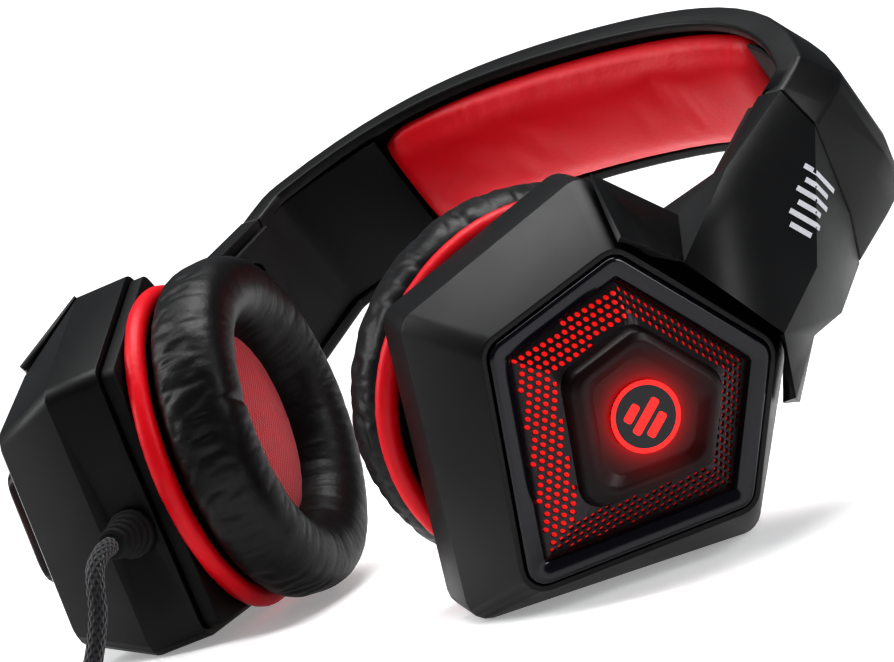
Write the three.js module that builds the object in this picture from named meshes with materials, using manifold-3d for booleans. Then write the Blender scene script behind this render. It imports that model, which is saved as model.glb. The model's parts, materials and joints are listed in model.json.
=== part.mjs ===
// Over-ear gaming headset, standing on the lower front flats of its two cups.
// Millimetres, +Z up, +X towards the wearer's right, origin under the middle of the box.
import * as THREE from 'three';
import { ConvexGeometry } from 'three/addons/geometries/ConvexGeometry.js';
import { mergeVertices } from 'three/addons/utils/BufferGeometryUtils.js';
import Module from 'manifold-3d';

const wasm = await Module();
wasm.setup();

// ---- driving dimensions ------------------------------------------------------------------
const GAP = 0.3;

// Cup, in its own frame: x towards the front (right cup) or the rear (left cup),
// y up to the crown, z outward from the plane where the shell meets its inner plate.
const SHELL = { top: 28.5, topY: 46.5, shoulder: 47, shoulderY: 0.8, bottomY: -47 };
const BEZEL = { top: 20.2, topY: 34.5, shoulder: 34, shoulderY: 4.2, bottomY: -34.2 };
const SHELL_CORNER = 5;
const BEZEL_CORNER = 4;
const WALL_DEPTH = 14;
const BEZEL_Z = 33.5;
const BEZEL_WIDTH = 4.6;
const BADGE_SHARE = 0.57;
const BADGE_RAISED = 4.4;
const BADGE_Z = 43;
const SHELL_WALL = 2.4;
const PLATE_DEPTH = 4;
const PLATE_INSET = 1.6;
const DRIVER_RADIUS = 25;
const PIPING_RADIUS = 2.8;
const PAD_DEPTH = 20;
const PAD_WIDTH = 19.4;
const CLOTH_LEVEL = -18.5;
const PAD_OVAL = { across: 41.8, up: 44.2, rearward: 2.6, centreY: 6.6 };

// How the cups hang in the rest pose, and how far forward the headset leans on their flats.
const CUP_X = 61.7;
const TOE = THREE.MathUtils.degToRad(25.5);
const YAW = THREE.MathUtils.degToRad(-17.3);

// Headband, in its own plane: x across, y from the rear rim to the front rim, z up.
const BAND_TILT = THREE.MathUtils.degToRad(22);
const BAND = { half: 98, rear: -17, front: 23, rearRidge: -8, frontRidge: 12 };
const CROWN = { height: 134, square: 0.00183, fourth: 2.3e-7 };
const TEMPLE_TOP = 94;
const JOINT = { height: 76, slope: 0.35, middle: 2 };
const BAND_WALL = 2.8;
const BAND_RIM = 3;

const MATERIALS = {
  shell: { color: 0x141415, roughness: 0.55, metalness: 0 },
  gloss: { color: 0x0b0a0f, roughness: 0.12, metalness: 0 },
  grille: { color: 0x1a1014, roughness: 0.4, metalness: 0.8 },
  light: { color: 0xff1a12, roughness: 0.4, metalness: 0 },
  leatherette_black: { color: 0x101011, roughness: 0.5, metalness: 0 },
  leatherette_red: { color: 0xb3081c, roughness: 0.45, metalness: 0 },
  mesh_cloth: { color: 0x8e0a1c, roughness: 0.9, metalness: 0 },
  steel: { color: 0x8d9095, roughness: 0.35, metalness: 1 },
  board: { color: 0x14452a, roughness: 0.6, metalness: 0 },
  rubber: { color: 0x0d0d0e, roughness: 0.8, metalness: 0 },
  braid: { color: 0x111112, roughness: 0.9, metalness: 0 },
};

// ---- shape helpers -----------------------------------------------------------------------

/** Rounds a polygon's corners with arcs of the same number of steps each. */
function rounded(corners, radius, steps = 4) {
  const points = [];
  corners.forEach((corner, i) => {
    const before = corners[(i + corners.length - 1) % corners.length];
    const after = corners[(i + 1) % corners.length];
    const inward = before.clone().sub(corner).normalize();
    const onward = after.clone().sub(corner).normalize();
    const half = Math.acos(THREE.MathUtils.clamp(inward.dot(onward), -1, 1)) / 2;
    const bisector = inward.clone().add(onward).normalize();
    const centre = corner.clone().addScaledVector(bisector, radius / Math.sin(half));
    const start = corner.clone().addScaledVector(inward, radius / Math.tan(half)).sub(centre);
    const end = corner.clone().addScaledVector(onward, radius / Math.tan(half)).sub(centre);
    let sweep = end.angle() - start.angle();
    if (sweep > Math.PI) sweep -= 2 * Math.PI;
    if (sweep < -Math.PI) sweep += 2 * Math.PI;
    for (let k = 0; k <= steps; k += 1) {
      points.push(start.clone().rotateAround(new THREE.Vector2(), (sweep * k) / steps).add(centre));
    }
  });
  return points;
}

/** Moves every side of a polygon inward by a distance. */
function inset(corners, distance) {
  return corners.map((corner, i) => {
    const before = corners[(i + corners.length - 1) % corners.length];
    const after = corners[(i + 1) % corners.length];
    const inward = before.clone().sub(corner).normalize();
    const onward = after.clone().sub(corner).normalize();
    const half = Math.acos(THREE.MathUtils.clamp(inward.dot(onward), -1, 1)) / 2;
    return corner.clone().addScaledVector(inward.add(onward).normalize(), distance / Math.sin(half));
  });
}

/** The five corners of a cup outline, from its driving sizes. */
function pentagon({ top, topY, shoulder, shoulderY, bottomY }) {
  return [[-top, topY], [-shoulder, shoulderY], [0, bottomY], [shoulder, shoulderY], [top, topY]]
    .map(([x, y]) => new THREE.Vector2(x, y));
}

/** A loop of 3-D points: an outline at a height. */
function level(outline, z) {
  return outline.map((p) => new THREE.Vector3(p.x, p.y, z));
}

/** Closed body from vertices and triangles, turned so that its faces point out. */
function closedBody(vertices, triangles) {
  let volume = 0;
  for (let i = 0; i < triangles.length; i += 3) {
    const [a, b, c] = [0, 1, 2].map((k) => vertices[triangles[i + k]]);
    volume += a.dot(b.clone().cross(c));
  }
  if (volume < 0) triangles.reverse();
  const geometry = new THREE.BufferGeometry();
  geometry.setAttribute('position', new THREE.Float32BufferAttribute(
    vertices.flatMap((v) => [v.x, v.y, v.z]), 3));
  geometry.setIndex(triangles);
  geometry.computeVertexNormals();
  return geometry;
}

/** Skin between neighbouring loops of equal length; `wrap` joins the last loop to the first. */
function skin(loops, wrap) {
  const count = loops[0].length;
  const vertices = loops.flat();
  const triangles = [];
  const spans = wrap ? loops.length : loops.length - 1;
  for (let i = 0; i < spans; i += 1) {
    const low = i * count;
    const high = ((i + 1) % loops.length) * count;
    for (let j = 0; j < count; j += 1) {
      const k = (j + 1) % count;
      triangles.push(low + j, low + k, high + k, low + j, high + k, high + j);
    }
  }
  return { vertices, triangles, count };
}

/** Ring-shaped solid: the loops follow its cross-section round and close on the first. */
function ring(loops) {
  const { vertices, triangles } = skin(loops, true);
  return closedBody(vertices, triangles);
}

/** Solid with a flat or fanned cap on its first and its last loop. */
function lofted(loops) {
  const { vertices, triangles, count } = skin(loops, false);
  const caps = [[loops[0], 0, true], [loops[loops.length - 1], (loops.length - 1) * count, false]];
  for (const [loop, start, turned] of caps) {
    const middle = vertices.length;
    vertices.push(loop.reduce((s, p) => s.add(p), new THREE.Vector3()).divideScalar(count));
    for (let j = 0; j < count; j += 1) {
      const k = (j + 1) % count;
      if (turned) triangles.push(start + k, start + j, middle);
      else triangles.push(start + j, start + k, middle);
    }
  }
  return closedBody(vertices, triangles);
}

/** A loop of points round the z axis. */
function circle(radius, z, steps) {
  return Array.from({ length: steps }, (_, i) => {
    const angle = (2 * Math.PI * i) / steps;
    return new THREE.Vector3(radius * Math.cos(angle), radius * Math.sin(angle), z);
  });
}

/** Turned ring, from the radius and height pairs of its cross-section. */
function turnedRing(section, steps = 32) {
  return ring(section.map(([r, z]) => circle(r, z, steps)));
}

/** Turned solid with flat ends, from radius and height pairs. */
function turned(profile, steps = 24) {
  return lofted(profile.map(([r, z]) => circle(r, z, steps)));
}

/** Convex body round a set of points. */
function hull(points) {
  return new ConvexGeometry(points.map(([x, y, z]) => new THREE.Vector3(x, y, z)));
}

/** Outline in the x-y plane, extruded up from a height. */
function slab(outline, z, depth) {
  return lofted([level(outline, z), level(outline, z + depth)]);
}

function solid(geometry) {
  const bare = geometry.clone();
  bare.deleteAttribute('normal');
  bare.deleteAttribute('uv');
  const merged = mergeVertices(bare, 1e-4);
  return new wasm.Manifold(new wasm.Mesh({
    numProp: 3,
    vertProperties: new Float32Array(merged.attributes.position.array),
    triVerts: new Uint32Array(merged.index.array),
  }));
}

function fromSolid(body) {
  const mesh = body.getMesh();
  const geometry = new THREE.BufferGeometry();
  geometry.setAttribute('position', new THREE.BufferAttribute(mesh.vertProperties, 3));
  geometry.setIndex(new THREE.BufferAttribute(mesh.triVerts, 1));
  geometry.computeVertexNormals();
  return geometry;
}

function cut(geometry, ...tools) {
  return fromSolid(tools.reduce((body, tool) => body.subtract(solid(tool)), solid(geometry)));
}

function joined(...pieces) {
  return fromSolid(pieces.map(solid).reduce((body, piece) => body.add(piece)));
}

/** Tube of a round section along a smooth route. */
function tube(points, radius, steps, sides) {
  const route = new THREE.CatmullRomCurve3(points, false, 'centripetal');
  const section = new THREE.Shape();
  for (let i = 0; i < sides; i += 1) {
    const angle = (2 * Math.PI * i) / sides;
    const point = [radius * Math.cos(angle), radius * Math.sin(angle)];
    if (i === 0) section.moveTo(...point);
    else section.lineTo(...point);
  }
  section.closePath();
  return new THREE.ExtrudeGeometry(section, { steps, extrudePath: route });
}

function part(name, geometry, finish) {
  const mesh = new THREE.Mesh(geometry, new THREE.MeshStandardMaterial(MATERIALS[finish]));
  mesh.name = name;
  return mesh;
}

// ---- cups --------------------------------------------------------------------------------

const shellAt = (distance) => rounded(inset(pentagon(SHELL), distance),
  Math.max(1.2, SHELL_CORNER - distance));
const bezelAt = (distance) => rounded(inset(pentagon(BEZEL), distance),
  Math.max(1, BEZEL_CORNER - distance));
/** The oval of the pad and its piping, moved inward; side is 1 for the right cup and -1 for the left. */
const ovalAt = (distance, side, steps = 40) => Array.from({ length: steps }, (_, i) => {
  const angle = (2 * Math.PI * i) / steps;
  const { across, up, rearward, centreY } = PAD_OVAL;
  return new THREE.Vector2(
    (across - distance) * Math.cos(angle) - side * rearward, centreY + (up - distance) * Math.sin(angle));
});
const badgeAt = (distance) => rounded(inset(pentagon(BEZEL).map((p) => p.clone()
  .multiplyScalar(BADGE_SHARE).add(new THREE.Vector2(0, BADGE_RAISED))), distance), 4.4);

function emptyShell() {
  return ring([
    level(shellAt(0), 0),
    level(shellAt(0), WALL_DEPTH),
    level(bezelAt(-1.6), BEZEL_Z),
    level(bezelAt(-0.35), BEZEL_Z),
    level(bezelAt(-0.35), BEZEL_Z - 3),
    level(shellAt(SHELL_WALL), WALL_DEPTH - 1),
    level(shellAt(SHELL_WALL), 0),
  ]);
}

function innerPlate() {
  const hole = turned([[DRIVER_RADIUS + GAP, -PLATE_DEPTH - 1], [DRIVER_RADIUS + GAP, 1]], 40);
  return cut(slab(shellAt(PLATE_INSET), -PLATE_DEPTH, PLATE_DEPTH - GAP), hole);
}

/** The shell with the slot and bosses of its hinge, and any bores through its walls. */
function cupShell(bores) {
  const slot = lug(-4.8, 4.8, 3.9, 14);
  const bosses = [lug(-9.5, -5.2, 3.2, 4.5), lug(5.2, 9.5, 3.2, 4.5)];
  return cut(joined(emptyShell(), ...bosses), slot, pinBody(PIN.radius + GAP, PIN.half + 2), ...bores);
}

function bezel() {
  return ring([
    level(bezelAt(0), BEZEL_Z - 3),
    level(bezelAt(0), BEZEL_Z + 0.6),
    level(bezelAt(0.8), BEZEL_Z + 1.2),
    level(bezelAt(BEZEL_WIDTH - 0.6), BEZEL_Z + 0.2),
    level(bezelAt(BEZEL_WIDTH), BEZEL_Z - 0.6),
    level(bezelAt(BEZEL_WIDTH), BEZEL_Z - 3),
  ]);
}

/** Sloping five-sided sheet from the bezel up to the badge, `drop` behind the grille. */
function slopingSheet(drop, thickness) {
  const low = BEZEL_Z - 1 - drop;
  const high = BADGE_Z - 5 - drop;
  const outer = bezelAt(BEZEL_WIDTH + GAP);
  const inner = badgeAt(-GAP);
  return ring([
    level(outer, low), level(inner, high), level(inner, high - thickness), level(outer, low - thickness),
  ]);
}

function badge() {
  return lofted([
    level(badgeAt(0), BEZEL_Z),
    level(badgeAt(0), BADGE_Z - 3.6),
    level(badgeAt(0.8), BADGE_Z - 1),
    level(badgeAt(2.4), BADGE_Z),
    level(badgeAt(3.4), BADGE_Z - 0.2),
    level(badgeAt(5.4), BADGE_Z - 1.8),
  ]);
}

function badgeLight() {
  const disc = turned([[7.6, BADGE_Z - 1.5], [7.6, BADGE_Z - 0.9]], 30);
  disc.translate(0, 8.4, 0);
  return disc;
}

function lightBoard() {
  return cut(slab(bezelAt(1), 24, 1.6), turned([[8, 23], [8, 27]], 24));
}

function piping(side) {
  const steps = 8;
  return ring(Array.from({ length: steps }, (_, i) => {
    const angle = (2 * Math.PI * i) / steps;
    return level(ovalAt(2 + PIPING_RADIUS * (1 - Math.cos(angle)), side),
      -PLATE_DEPTH - GAP - PIPING_RADIUS * (1 + Math.sin(angle)));
  }));
}

function earCushion(side) {
  const steps = 12;
  const top = PLATE_DEPTH + 2 * (PIPING_RADIUS + GAP);
  const soft = (value) => Math.sign(value) * Math.abs(value) ** 0.6;
  return ring(Array.from({ length: steps }, (_, i) => {
    const angle = (2 * Math.PI * i) / steps;
    return level(ovalAt((PAD_WIDTH / 2) * (1 - soft(Math.cos(angle))), side),
      -top - (PAD_DEPTH / 2) * (1 + soft(Math.sin(angle))));
  }));
}

function commonCupParts(side) {
  const sign = side === 'right' ? 1 : -1;
  return [
    part(`${side}_inner_plate`, innerPlate(), 'shell'),
    part(`${side}_bezel`, bezel(), 'gloss'),
    part(`${side}_grille`, slopingSheet(0, 1), 'grille'),
    part(`${side}_light_guide`, slopingSheet(1.6, 1.2), 'light'),
    part(`${side}_badge`, badge(), 'gloss'),
    part(`${side}_badge_light`, badgeLight(), 'light'),
    part(`${side}_light_board`, lightBoard(), 'board'),
    part(`${side}_driver_frame`, turnedRing([
      [DRIVER_RADIUS, -3.6], [DRIVER_RADIUS, -1.4], [21, -1.2], [13, 6], [13, 8], [9.5, 8], [9.5, 5],
      [19, -3.6],
    ]), 'steel'),
    part(`${side}_driver_magnet`, turned([[14, 8.4], [14, 14]], 28), 'steel'),
    part(`${side}_ear_cloth`, slab(ovalAt(PAD_WIDTH + 0.4, sign), CLOTH_LEVEL, 1), 'mesh_cloth'),
    part(`${side}_piping`, piping(sign), 'leatherette_red'),
    part(`${side}_ear_cushion`, earCushion(sign), 'leatherette_black'),
  ];
}

/** Axes and place of a cup: side is 1 for the right cup and -1 for the left. */
function cupFrame(side) {
  const up = new THREE.Vector3(side * Math.sin(TOE), 0, Math.cos(TOE));
  const out = new THREE.Vector3(
    side * Math.cos(TOE) * Math.cos(YAW), Math.sin(YAW), -Math.sin(TOE) * Math.cos(YAW));
  const frame = new THREE.Matrix4().makeBasis(up.clone().cross(out), up, out);
  return frame.setPosition(side * CUP_X, 0, 0);
}

/** How far the headset leans forward, so that the lower front edge of each cup lies level. */
function restTilt() {
  const frame = cupFrame(1);
  const start = new THREE.Vector3(0, SHELL.bottomY, 0).applyMatrix4(frame);
  const end = new THREE.Vector3(SHELL.shoulder, SHELL.shoulderY, 0).applyMatrix4(frame);
  return Math.atan2(end.z - start.z, end.y - start.y);
}

// ---- strain relief and retracting microphone, both in the left shell -----------------------

/** Places a body made along +z onto one side of the left shell, pointing straight out of it. */
function onSide(geometry, corner, share, z) {
  const corners = pentagon(SHELL);
  const start = corners[corner];
  const end = corners[(corner + 1) % corners.length];
  const along = end.clone().sub(start);
  const spot = start.clone().addScaledVector(along, share);
  const out = new THREE.Vector3(along.y, -along.x, 0).normalize();
  if (out.x * spot.x + out.y * spot.y < 0) out.negate();
  const depth = new THREE.Vector3(0, 0, 1);
  const frame = new THREE.Matrix4().makeBasis(depth.clone().cross(out), depth, out);
  frame.setPosition(spot.x, spot.y, z);
  return geometry.clone().applyMatrix4(frame);
}

const GLAND = { corner: 2, share: 0.44, z: 6.5, neck: 3.2, length: 15 };
const MIC = { corner: 0, share: 0.62, z: 17.4, radius: 2.2 };

function strainRelief() {
  const ribs = [];
  for (let i = 0; i < 4; i += 1) {
    const z = 2.6 + i * 3.1;
    const radius = 5 - i * 0.45;
    ribs.push([radius, z], [radius, z + 2], [radius - 0.9, z + 2.2], [radius - 0.9, z + 2.9]);
  }
  return turned([
    [5.4, -5], [5.4, -3], [GLAND.neck, -2.8], [GLAND.neck, 0.5], [5.8, 0.5], [5.8, 2.4], ...ribs,
    [3.2, GLAND.length],
  ], 16);
}

/** Five-sided solid of the cup's outside, grown by a distance and carried on outward. */
function cupClearance(distance) {
  return lofted([
    level(shellAt(-distance), -30),
    level(shellAt(-distance), WALL_DEPTH + distance / 2),
    level(bezelAt(-1.6 - distance), BEZEL_Z + distance / 2),
    level(bezelAt(-1.6 - distance), BEZEL_Z + 20),
  ]);
}

function micParts() {
  const place = (geometry) => onSide(geometry, MIC.corner, MIC.share, MIC.z);
  return [
    part('left_mic_stalk', place(turned([[MIC.radius, -62], [MIC.radius, 2.5]], 14)), 'rubber'),
    part('left_mic_capsule', place(turned([
      [3.6, 2.8], [4.6, 3.6], [4.8, 9], [4, 11], [2, 11.8],
    ], 18)), 'rubber'),
  ];
}

// ---- arms ----------------------------------------------------------------------------------

const bandFrame = new THREE.Matrix4().makeRotationX(-BAND_TILT);

/** Height of the slanting joint between temple and arm, at a place across the band. */
const jointHeight = (y) => JOINT.height - JOINT.slope * (y - JOINT.middle);

/** Points of the right cup's frame, taken to the headset's frame. */
function fromCup(points) {
  return points.map((p) => new THREE.Vector3(...p).applyMatrix4(cupFrame(1)).toArray());
}

/** Points of the headband's frame, taken to the headset's frame. */
function fromBand(points) {
  return points.map((p) => new THREE.Vector3(...p).applyMatrix4(bandFrame).toArray());
}

function mirrored(geometry, side) {
  if (side > 0) return geometry;
  const flipped = mergeVertices(geometry.clone().deleteAttribute('normal'), 1e-4).scale(-1, 1, 1);
  flipped.setIndex([...flipped.index.array].reverse());
  flipped.computeVertexNormals();
  return flipped;
}

/** The faceted arm: a tapering neck from the temple, and a foot that wraps the cup's top. */
function arm() {
  const { half, rear, front, rearRidge, frontRidge } = BAND;
  const top = fromBand([
    [half - 12, rear], [half - 5.5, rear], [half, rearRidge],
    [half, frontRidge], [half - 2.5, front], [half - 12, front],
  ].map(([x, y]) => [x, y, jointHeight(y) - GAP - 0.1]));
  const waist = fromBand([
    [91, -19, 53], [95.5, -20, 52], [101, -14, 49], [106.5, 6, 46], [104, 19.5, 46.5], [97, 19, 46],
  ]);
  const ankle = fromCup([
    [-6, 47, 3], [-4, 51.5, 13.5], [-7, 40, 36.5], [20, 38, 37], [32, 42, 24], [29, 44, 6],
  ]);
  const rearWing = fromCup([
    [-27, 47.7, 16], [-21.5, 38, 35.5], [-7, 40, 36.5], [-3, 50.2, 13.5], [-26, 44, 14],
    [-20.5, 35, 33], [-6, 44, 10],
  ]);
  const frontWing = fromCup([
    [20, 38, 37], [32, 42, 24], [37.5, 28.5, 22], [31, 28, 33.5], [19, 35, 33], [35, 26, 18], [30, 45, 9],
  ]);
  const body = joined(hull([...top, ...waist]), hull([...waist, ...ankle]), hull(rearWing), hull(frontWing));
  const blade = hull(fromBand(bladeCorners(GAP)));
  const frame = cupFrame(1);
  const foot = cut(body, cupClearance(1.5).applyMatrix4(frame), blade);
  const stem = lug(-4, 4, 3, 9).applyMatrix4(frame);
  return cut(joined(foot, stem), pinBody(PIN.radius + GAP, PIN.half + 1).applyMatrix4(frame));
}

/** Corners of the flat steel blade that runs from the arm up into the temple. */
function bladeCorners(grown) {
  const corners = [];
  for (const x of [90 - grown, 91.5 + grown]) {
    for (const y of [-4 - grown, 8 + grown]) {
      corners.push([x, y, 62 - grown], [x, y, 96 + grown]);
    }
  }
  return corners;
}

/** Pin on which a cup tilts in its arm, along the cup's x axis behind the top facet. */
const PIN = { y: 36, z: 20, radius: 1.5, half: 9 };

/** Body round the pin, across x from one place to another, drawn out through the top facet. */
function lug(from, to, radius, reach) {
  const points = [];
  for (const x of [from, to]) {
    for (let i = 0; i < 8; i += 1) {
      const angle = (Math.PI * i) / 4;
      points.push([x, PIN.y + radius * Math.cos(angle), PIN.z + radius * Math.sin(angle)]);
    }
    points.push([x, PIN.y + reach + radius / 2, PIN.z + reach / 2 - radius]);
    points.push([x, PIN.y + reach - radius / 2, PIN.z + reach / 2 + radius]);
  }
  return hull(points);
}

function pinBody(radius, half) {
  const geometry = turned([[radius, -half], [radius, half]], 14);
  geometry.rotateY(Math.PI / 2);
  geometry.translate(0, PIN.y, PIN.z);
  return geometry;
}

const COVER_SCREWS = [[-9, 70], [14, 63], [3, 54.5]];

/** How far out the inner side of an arm lies at a height: it leans out towards the cup. */
const armInside = (z) => 86 + Math.max(0, JOINT.height - z) * 0.2;

/** Turned body set into an arm's inner cover, its top facing the wearer. */
function inCover(geometry, [y, z]) {
  return geometry.rotateY(-Math.PI / 2).translate(armInside(z) - 3.5, y, z);
}

function armCover() {
  const outline = [
    [-15.5, jointHeight(-15.5) - 1.2], [-16.5, 56], [-8, 47.5], [14, 47.5], [20, 54],
    [21, jointHeight(21) - 1.2],
  ];
  const plate = hull(outline.flatMap(([y, z]) => [[armInside(z) - 3.5, y, z], [armInside(z) - 1.7, y, z]]));
  const holes = COVER_SCREWS.map((spot) => inCover(turned([[2.6, -3], [2.6, 2]], 16), spot));
  return cut(plate, ...holes).applyMatrix4(bandFrame);
}

/** Recessed screw in an arm's inner cover. */
function coverScrew(spot) {
  const screw = turned([[2.2, -1.6], [2.2, -0.7], [1.8, -0.4], [0.9, -0.4], [0.6, -0.9]], 16);
  return inCover(screw, spot).applyMatrix4(bandFrame);
}

// ---- headband ------------------------------------------------------------------------------

const crownHeight = (x) => CROWN.height - CROWN.square * x ** 2 - CROWN.fourth * x ** 4;

/** Stations along the band's outer line, from the right joint over the crown to the left. */
function bandStations(crownSteps, lowest) {
  const { half } = BAND;
  const reach = half - 5;
  const stations = [
    { x: half, z: lowest, slant: 1 },
    { x: half, z: TEMPLE_TOP - 8, slant: 0 },
    { x: half - 0.5, z: TEMPLE_TOP - 1, slant: 0 },
    { x: half - 2.2, z: TEMPLE_TOP + 3.5, slant: 0 },
  ];
  for (let i = 0; i <= crownSteps; i += 1) {
    const x = reach * (1 - (2 * i) / crownSteps);
    stations.push({ x, z: crownHeight(x), slant: 0 });
  }
  const flip = ({ x, z, slant }) => ({ x: -x, z, slant });
  return [...stations, ...stations.slice(0, 4).reverse().map(flip)];
}

/** Sweeps a cross-section of [y, depth below the outer line] pairs along the band. */
function bandSweep(stations, section) {
  const line = stations.map(({ x, z }) => new THREE.Vector2(x, z));
  return stations.map(({ slant }, i) => {
    const before = line[Math.max(0, i - 1)];
    const after = line[Math.min(line.length - 1, i + 1)];
    const along = after.clone().sub(before).normalize();
    const inward = slant ? new THREE.Vector2(-Math.sign(line[i].x), 0)
      : new THREE.Vector2(-along.y, along.x);
    const share = Math.min(1, Math.abs(line[i].x) / BAND.half) ** 3;
    return section(share).map(([y, depth]) => {
      const spot = line[i].clone().addScaledVector(inward, depth);
      const drop = slant ? -JOINT.slope * (y - JOINT.middle) : 0;
      return new THREE.Vector3(spot.x, y, spot.y + drop);
    });
  });
}

/** Solid between loops whose ends are capped by ear clipping in the plane of two axes. */
function sweptSolid(loops, [first, second]) {
  const { vertices, triangles, count } = skin(loops, false);
  const flat = (loop) => loop.map((p) => new THREE.Vector2(p[first], p[second]));
  const signed = THREE.ShapeUtils.area(flat(loops[0]));
  const faces = THREE.ShapeUtils.triangulateShape(flat(loops[0]), []);
  const last = (loops.length - 1) * count;
  for (const [a, b, c] of faces) {
    const [i, j, k] = signed > 0 ? [a, b, c] : [a, c, b];
    triangles.push(i, k, j);
    triangles.push(last + i, last + j, last + k);
  }
  return closedBody(vertices, triangles);
}

function headbandShell() {
  const { rear, front, rearRidge, frontRidge } = BAND;
  const section = (share) => {
    const chamfer = 1.5 + 4 * share;
    const frontChamfer = 1.5 + share;
    const rim = 7.5 + 4.5 * share;
    return [
      [rearRidge, 0], [frontRidge, 0], [front, frontChamfer], [front, rim], [front - BAND_RIM, rim],
      [front - BAND_RIM, frontChamfer + BAND_WALL], [frontRidge, BAND_WALL], [rearRidge, BAND_WALL],
      [rear + BAND_RIM, chamfer + BAND_WALL], [rear + BAND_RIM, rim], [rear, rim], [rear, chamfer],
    ];
  };
  return sweptSolid(bandSweep(bandStations(26, JOINT.height), section), ['x', 'y']);
}

/** Crown stations only, out to a reach either side. */
function crownStations(reach, steps) {
  return Array.from({ length: steps + 1 }, (_, i) => {
    const x = reach * (1 - (2 * i) / steps);
    return { x, z: crownHeight(x), slant: 0 };
  });
}

function headbandStrip() {
  const section = () => [[-6, 3.2], [10, 3.2], [10, 4.2], [-6, 4.2]];
  return lofted(bandSweep(crownStations(76, 18), section));
}

function headbandCushion() {
  const middle = (BAND.rear + BAND.front) / 2;
  const half = (BAND.front - BAND.rear) / 2 - BAND_RIM - 0.6;
  const section = () => {
    const points = [];
    for (let i = 0; i <= 8; i += 1) {
      const angle = (Math.PI * i) / 8;
      points.push([middle + half * Math.cos(angle), 9 + 7.5 * Math.sin(angle)]);
    }
    return [
      ...points, [middle - half, 5.9], [middle - half + 4, 4.6], [middle + half - 4, 4.6],
      [middle + half, 5.9],
    ];
  };
  return lofted(bandSweep(crownStations(68.5, 18), section));
}

/** Thin liner that closes the inside of a temple between its rims. */
function templeLiner() {
  const { half, rear, front } = BAND;
  const stations = [
    { x: half, z: JOINT.height + 1, slant: 1 },
    { x: half, z: TEMPLE_TOP - 8, slant: 0 },
    { x: half - 0.5, z: TEMPLE_TOP - 1, slant: 0 },
    { x: half - 2.2, z: TEMPLE_TOP + 3.5, slant: 0 },
    ...[half - 5, half - 12, half - 20, half - 28].map((x) => ({ x, z: crownHeight(x), slant: 0 })),
  ];
  const low = rear + BAND_RIM + GAP;
  const high = front - BAND_RIM - GAP;
  const section = () => [[low, 9.3], [high, 9.3], [high, 10.6], [low, 10.6]];
  return lofted(bandSweep(stations, section));
}

// ---- cord, in the frame of the standing headset ----------------------------------------------

const CORD_RADIUS = 2.2;
const CORD_UPPER = [
  [-42.87, -85.83, 30.46], [-40.4, -90.3, 30], [-38.2, -95.2, 27.6], [-36.8, -97.8, 23.5],
  [-36.4, -99.4, 18.5], [-36.5, -102, 12.8], [-36.8, -105.2, 7.4], [-37.8, -109, 4.2],
  [-40.3, -112, 3.5], [-44, -114.2, 4], [-46.4, -117, 4.6], [-47, -119.4, 4.8], [-47, -121.6, 4.8],
];
const CORD_LOWER = [
  [-47, -166.4, 4.8], [-47, -168.4, 4.8], [-47.3, -171, 4.2], [-49, -175, 2.9], [-52.4, -180, 2.4],
  [-56.4, -184, 2.35],
  [-58.9, -188.5, 2.35], [-59.6, -193, 2.35],
];
const COIL = { x: -95, y: -192, inner: 18, outer: 32, top: 18 };
const CORD_END = [
  [-130.4, -192, 2.35], [-131, -184, 2.35], [-133.4, -175, 2.4], [-136.6, -167, 2.8], [-138.6, -160, 3.6],
  [-139, -153.3, 4],
];

function cordTube(points, steps) {
  return tube(points.map((p) => new THREE.Vector3(...p)), CORD_RADIUS, steps, 10);
}

function coilRing() {
  const { x, y, inner, outer, top } = COIL;
  return turnedRing([[inner, 2], [inner, top - 2], [inner + 2, top], [outer - 2, top],
    [outer, top - 2], [outer, 2], [outer - 2, 0.1], [inner + 2, 0.1]], 36).translate(x, y, 0);
}

/** Inline control: a small case with a volume wheel at its side and a mute slider on top. */
const REMOTE = { x: -47, y: -144, width: 14, length: 44, height: 9.6 };

const box2 = (width, length, radius) => rounded([[-1, -1], [1, -1], [1, 1], [-1, 1]]
  .map(([x, y]) => new THREE.Vector2((x * width) / 2, (y * length) / 2)), radius);

function remoteParts() {
  const { x, y, width, length, height } = REMOTE;
  const set = (geometry) => geometry.translate(x, y, 0);
  const soft = lofted([
    level(box2(width - 2, length - 2, 4), 0.1), level(box2(width, length, 5), 1.4),
    level(box2(width, length, 5), height - 1.4), level(box2(width - 2, length - 2, 4), height),
  ]);
  const wheelPocket = turned([[7.3, 3.4], [7.3, 6.6]], 30).translate(2.6, 8, 0);
  const slot = slab(box2(5.4, 12.4, 1.2), height - 1.7, 3).translate(0, -9, 0);
  const knob = joined(slab(box2(4.6, 8, 1), height - 1.4, 1.3), slab(box2(3.6, 3, 0.8), height - 0.6, 1.6));
  return [
    part('remote_body', set(cut(soft, wheelPocket, slot)), 'shell'),
    part('volume_wheel', set(
      turned([[6.6, 3.75], [7, 4.1], [7, 5.9], [6.6, 6.25]], 30).translate(2.6, 8, 0)), 'rubber'),
    part('mute_slider', set(knob.translate(0, -10.6, 0)), 'gloss'),
  ];
}

/** USB plug at the far end, lying on the table. */
const PLUG = { x: -139, y: -153 };

function plugParts() {
  const set = (geometry) => geometry.rotateX(-Math.PI / 2).translate(PLUG.x, PLUG.y, 4);
  const body = lofted([
    level(box2(6.4, 6.4, 2.6), 0), level(box2(6.4, 6.4, 2.6), 5), level(box2(15, 7.6, 2.4), 9),
    level(box2(15, 7.6, 2.4), 26), level(box2(13.4, 6.4, 2), 27),
  ]);
  const metal = cut(slab(box2(12, 4.5, 0.5), 27.3, 14), slab(box2(11.2, 3.7, 0.4), 28.3, 20));
  return [part('plug_body', set(body), 'rubber'), part('plug_contact', set(metal), 'steel')];
}

// ---- assembly ------------------------------------------------------------------------------

function place(group, matrix) {
  matrix.decompose(group.position, group.quaternion, group.scale);
  return group;
}

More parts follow.
